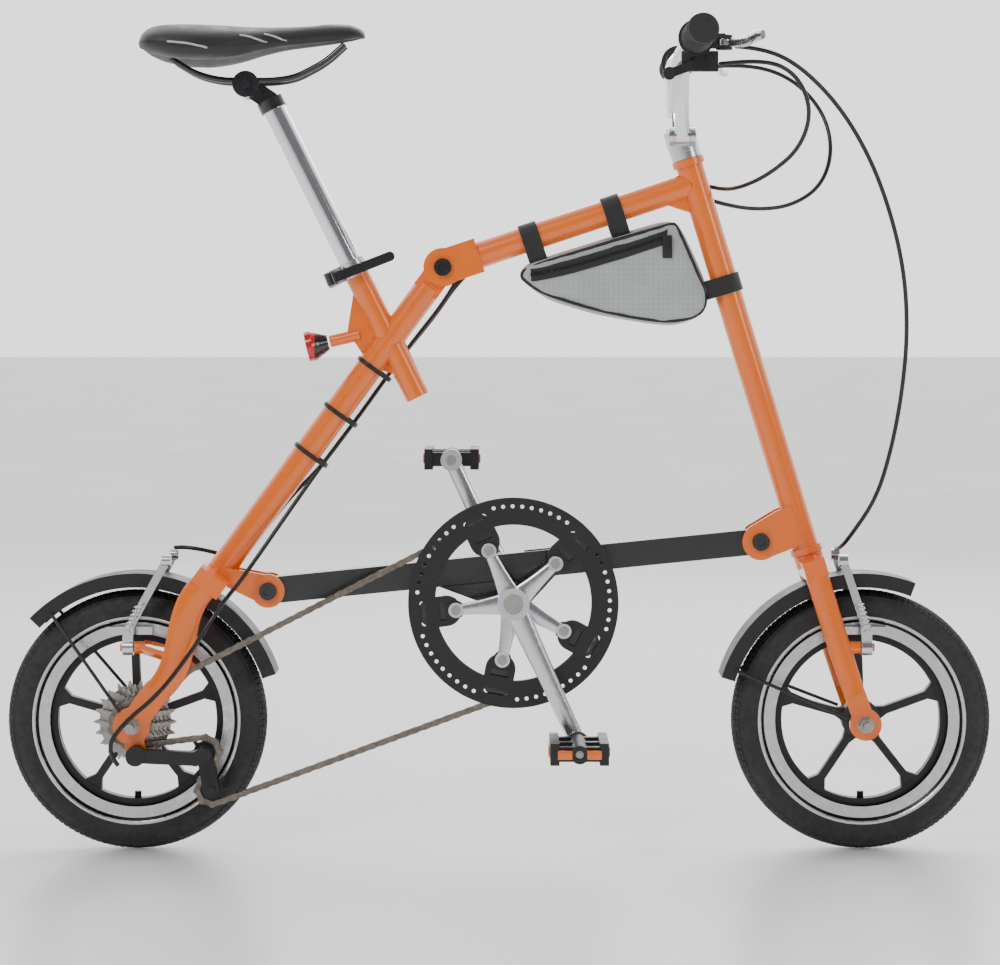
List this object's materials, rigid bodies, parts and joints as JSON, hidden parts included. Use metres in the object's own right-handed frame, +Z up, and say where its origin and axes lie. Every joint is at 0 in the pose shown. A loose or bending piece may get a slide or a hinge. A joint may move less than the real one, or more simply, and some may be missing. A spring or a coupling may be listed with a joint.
{
  "type": "folding bicycle",
  "caption": "Small-wheel folding bicycle with a triangular pivoting frame, moulded wheels, chain drive with derailleur, rim brakes, telescoping seatpost and frame bag.",
  "frame": {"origin": "on the ground, midway between the two wheel axles, in the frame's middle plane", "axes": "+X forwards, +Y to the rider's left, +Z up"},
  "size_m": [1.1219, 0.586, 0.944],
  "materials": {
    "frame_paint": "gloss enamel",
    "black_paint": "gloss enamel",
    "polished_alloy": "polished",
    "chrome_steel": "bright chrome",
    "zinc_steel": "zinc plated",
    "chain_steel": "oiled steel",
    "tyre_rubber": "matt rubber",
    "machined_rim": "machined",
    "black_plastic": "satin moulded",
    "grip_rubber": "soft rubber",
    "saddle_cover": "satin vinyl",
    "bag_fabric": "woven nylon",
    "lamp_plastic": "clear red over black",
    "cable_cover": "smooth sleeve"
  },
  "bodies": {
    "rear_frame": {"rear_main_tube": "frame_paint", "rear_fork_yoke": "frame_paint", "rear_fork_right": "frame_paint", "rear_fork_left": "frame_paint", "seat_tube": "frame_paint", "rear_pivot_pins": "black_paint", "rear_axle": "zinc_steel", "rear_fender": "black_plastic", "seat_clamp": "polished_alloy", "tail_lamp": "lamp_plastic", "derailleur_body": "black_plastic", "control_cables_rear": "cable_cover", "chain": "chain_steel"},
    "front_frame": {"top_tube": "frame_paint", "head_tube": "frame_paint", "front_pivot_pin": "black_paint", "frame_bag": "bag_fabric", "control_cables_top": "cable_cover"},
    "rear_link": {"lower_bar_rear": "black_paint", "bottom_bracket": "black_paint"},
    "front_link": {"lower_bar_front": "black_paint"},
    "crankset": {"crank_right": "polished_alloy", "crank_left": "polished_alloy", "crank_axles": "zinc_steel", "chainring": "zinc_steel", "chainguard": "black_plastic", "chainring_bolts": "zinc_steel"},
    "right_pedal": {"pedal_right": "black_plastic"},
    "left_pedal": {"pedal_left": "black_plastic"},
    "rear_wheel": {"rear_tyre": "tyre_rubber", "rear_rim": "machined_rim", "rear_wheel_spokes": "black_plastic"},
    "freewheel": {"freewheel_cogs": "zinc_steel"},
    "guide_wheel": {"guide_pulley": "black_plastic"},
    "tension_wheel": {"tension_pulley": "black_plastic"},
    "gear_cage": {"derailleur_cage": "black_plastic"},
    "steering": {"front_fork": "frame_paint", "handlebar_clamp": "polished_alloy", "front_fender": "black_plastic", "front_axle": "zinc_steel", "brake_cable_front": "cable_cover", "control_cables_bars": "cable_cover"},
    "front_wheel": {"front_tyre": "tyre_rubber", "front_rim": "machined_rim", "front_wheel_spokes": "black_plastic"},
    "bar_left": {"handlebar_left": "chrome_steel", "grip_left": "grip_rubber"},
    "bar_right": {"handlebar_right": "chrome_steel", "grip_right": "grip_rubber"},
    "lever_left": {"brake_lever_left": "polished_alloy"},
    "lever_right": {"brake_lever_right": "polished_alloy"},
    "shifter": {"shift_lever": "black_plastic"},
    "front_brake_left": {"brake_arm_front_left": "polished_alloy"},
    "front_brake_right": {"brake_arm_front_right": "polished_alloy"},
    "rear_brake_left": {"brake_arm_rear_left": "polished_alloy"},
    "rear_brake_right": {"brake_arm_rear_right": "polished_alloy"},
    "seat_assembly": {"seatpost": "chrome_steel", "saddle": "saddle_cover", "saddle_rails": "black_plastic"},
    "seat_release": {"seat_release_lever": "black_plastic"}
  },
  "joints": [
    {"name": "fold", "type": "hinge", "parent": "rear_frame", "child": "front_frame", "pos_m": [-0.0643, 0, 0.664], "axis": [0, 1, 0], "range_deg": [0, 40], "deforming": ["control_cables_rear"]},
    {"name": "rear_link_turn", "type": "hinge", "parent": "rear_frame", "child": "rear_link", "pos_m": [-0.2632, 0, 0.295], "axis": [0, 1, 0], "range_deg": [-8.53, 0], "deforming": ["chain"]},
    {"name": "front_link_turn", "type": "hinge", "parent": "front_frame", "child": "front_link", "pos_m": [0.2981, 0, 0.3512], "axis": [0, 1, 0], "range_deg": [0, 76.43]},
    {"name": "steer", "type": "hinge", "parent": "front_frame", "child": "steering", "pos_m": [0.3502, 0, 0.345], "axis": [-0.2912, 0, 0.9567], "range_deg": [-50, 50], "deforming": ["control_cables_bars"]},
    {"name": "front_wheel_spin", "type": "hinge", "parent": "steering", "child": "front_wheel", "pos_m": [0.413, 0, 0.148], "axis": [0, 1, 0], "continuous": true},
    {"name": "rear_wheel_spin", "type": "hinge", "parent": "rear_frame", "child": "rear_wheel", "pos_m": [-0.413, 0, 0.148], "axis": [0, 1, 0], "continuous": true},
    {"name": "crank_spin", "type": "hinge", "parent": "rear_link", "child": "crankset", "pos_m": [0.016, 0, 0.2857], "axis": [0, 1, 0], "continuous": true},
    {"name": "freewheel_spin", "type": "hinge", "parent": "rear_frame", "child": "freewheel", "pos_m": [-0.413, 0, 0.148], "axis": [0, 1, 0], "continuous": true},
    {"name": "guide_pulley_spin", "type": "hinge", "parent": "rear_frame", "child": "guide_wheel", "pos_m": [-0.332, 0, 0.117], "axis": [0, 1, 0], "continuous": true},
    {"name": "tension_pulley_spin", "type": "hinge", "parent": "gear_cage", "child": "tension_wheel", "pos_m": [-0.324, 0, 0.075], "axis": [0, 1, 0], "continuous": true},
    {"name": "cage_swing", "type": "hinge", "parent": "rear_frame", "child": "gear_cage", "pos_m": [-0.332, 0, 0.117], "axis": [0, 1, 0], "range_deg": [-15, 25], "stiffness_Nm_per_rad": 0.3},
    {"name": "pedal_right_spin", "type": "hinge", "parent": "crankset", "child": "right_pedal", "pos_m": [0.08785, -0.125, 0.13163], "axis": [0, 1, 0], "continuous": true},
    {"name": "pedal_left_spin", "type": "hinge", "parent": "crankset", "child": "left_pedal", "pos_m": [-0.05584, 0.125, 0.43977], "axis": [0, 1, 0], "continuous": true},
    {"name": "bar_left_fold", "type": "hinge", "parent": "steering", "child": "bar_left", "pos_m": [0.2078, 0.026, 0.813], "axis": [-1, 0, 0], "range_deg": [0, 85], "deforming": ["control_cables_bars"]},
    {"name": "bar_right_fold", "type": "hinge", "parent": "steering", "child": "bar_right", "pos_m": [0.2078, -0.026, 0.813], "axis": [1, 0, 0], "range_deg": [0, 85], "deforming": ["control_cables_bars", "brake_cable_front"]},
    {"name": "brake_lever_left_pull", "type": "hinge", "parent": "bar_left", "child": "lever_left", "pos_m": [0.2468, 0.146, 0.909], "axis": [0, 0, 1], "range_deg": [0, 16], "stiffness_Nm_per_rad": 0.5},
    {"name": "brake_lever_right_pull", "type": "hinge", "parent": "bar_right", "child": "lever_right", "pos_m": [0.2468, -0.146, 0.909], "axis": [0, 0, -1], "range_deg": [0, 16], "stiffness_Nm_per_rad": 0.5},
    {"name": "shift_lever_push", "type": "hinge", "parent": "bar_right", "child": "shifter", "pos_m": [0.2198, -0.15, 0.886], "axis": [0, -1, 0], "range_deg": [0, 25], "stiffness_Nm_per_rad": 0.3},
    {"name": "front_brake_left_close", "type": "hinge", "parent": "steering", "child": "front_brake_left", "pos_m": [0.415, 0.044, 0.234], "axis": [1, 0, 0], "range_deg": [0, 3.5]},
    {"name": "front_brake_right_close", "type": "hinge", "parent": "steering", "child": "front_brake_right", "pos_m": [0.415, -0.044, 0.234], "axis": [-1, 0, 0], "range_deg": [0, 3.5]},
    {"name": "rear_brake_left_close", "type": "hinge", "parent": "rear_frame", "child": "rear_brake_left", "pos_m": [-0.419, 0.044, 0.234], "axis": [1, 0, 0], "range_deg": [0, 3.5]},
    {"name": "rear_brake_right_close", "type": "hinge", "parent": "rear_frame", "child": "rear_brake_right", "pos_m": [-0.419, -0.044, 0.234], "axis": [-1, 0, 0], "range_deg": [0, 3.5]},
    {"name": "seatpost_slide", "type": "slide", "parent": "rear_frame", "child": "seat_assembly", "axis": [-0.447, 0, 0.8945], "range_m": [-0.15, 0.02]},
    {"name": "seat_release_open", "type": "hinge", "parent": "rear_frame", "child": "seat_release", "pos_m": [-0.19142, -0.022, 0.65022], "axis": [0.361, 0, -0.9326], "range_deg": [0, 110]}
  ],
  "couplings": [
    {"joint": "rear_link_turn", "follows": "fold", "ratio": -0.21299},
    {"joint": "front_link_turn", "follows": "fold", "ratio": 1.9106},
    {"joint": "freewheel_spin", "follows": "crank_spin", "ratio": 4},
    {"joint": "guide_pulley_spin", "follows": "crank_spin", "ratio": -6},
    {"joint": "tension_pulley_spin", "follows": "crank_spin", "ratio": 6},
    {"joint": "front_brake_left_close", "follows": "brake_lever_right_pull", "ratio": 0.21875},
    {"joint": "front_brake_right_close", "follows": "brake_lever_right_pull", "ratio": 0.21875},
    {"joint": "rear_brake_left_close", "follows": "brake_lever_left_pull", "ratio": 0.21875},
    {"joint": "rear_brake_right_close", "follows": "brake_lever_left_pull", "ratio": 0.21875}
  ]
}
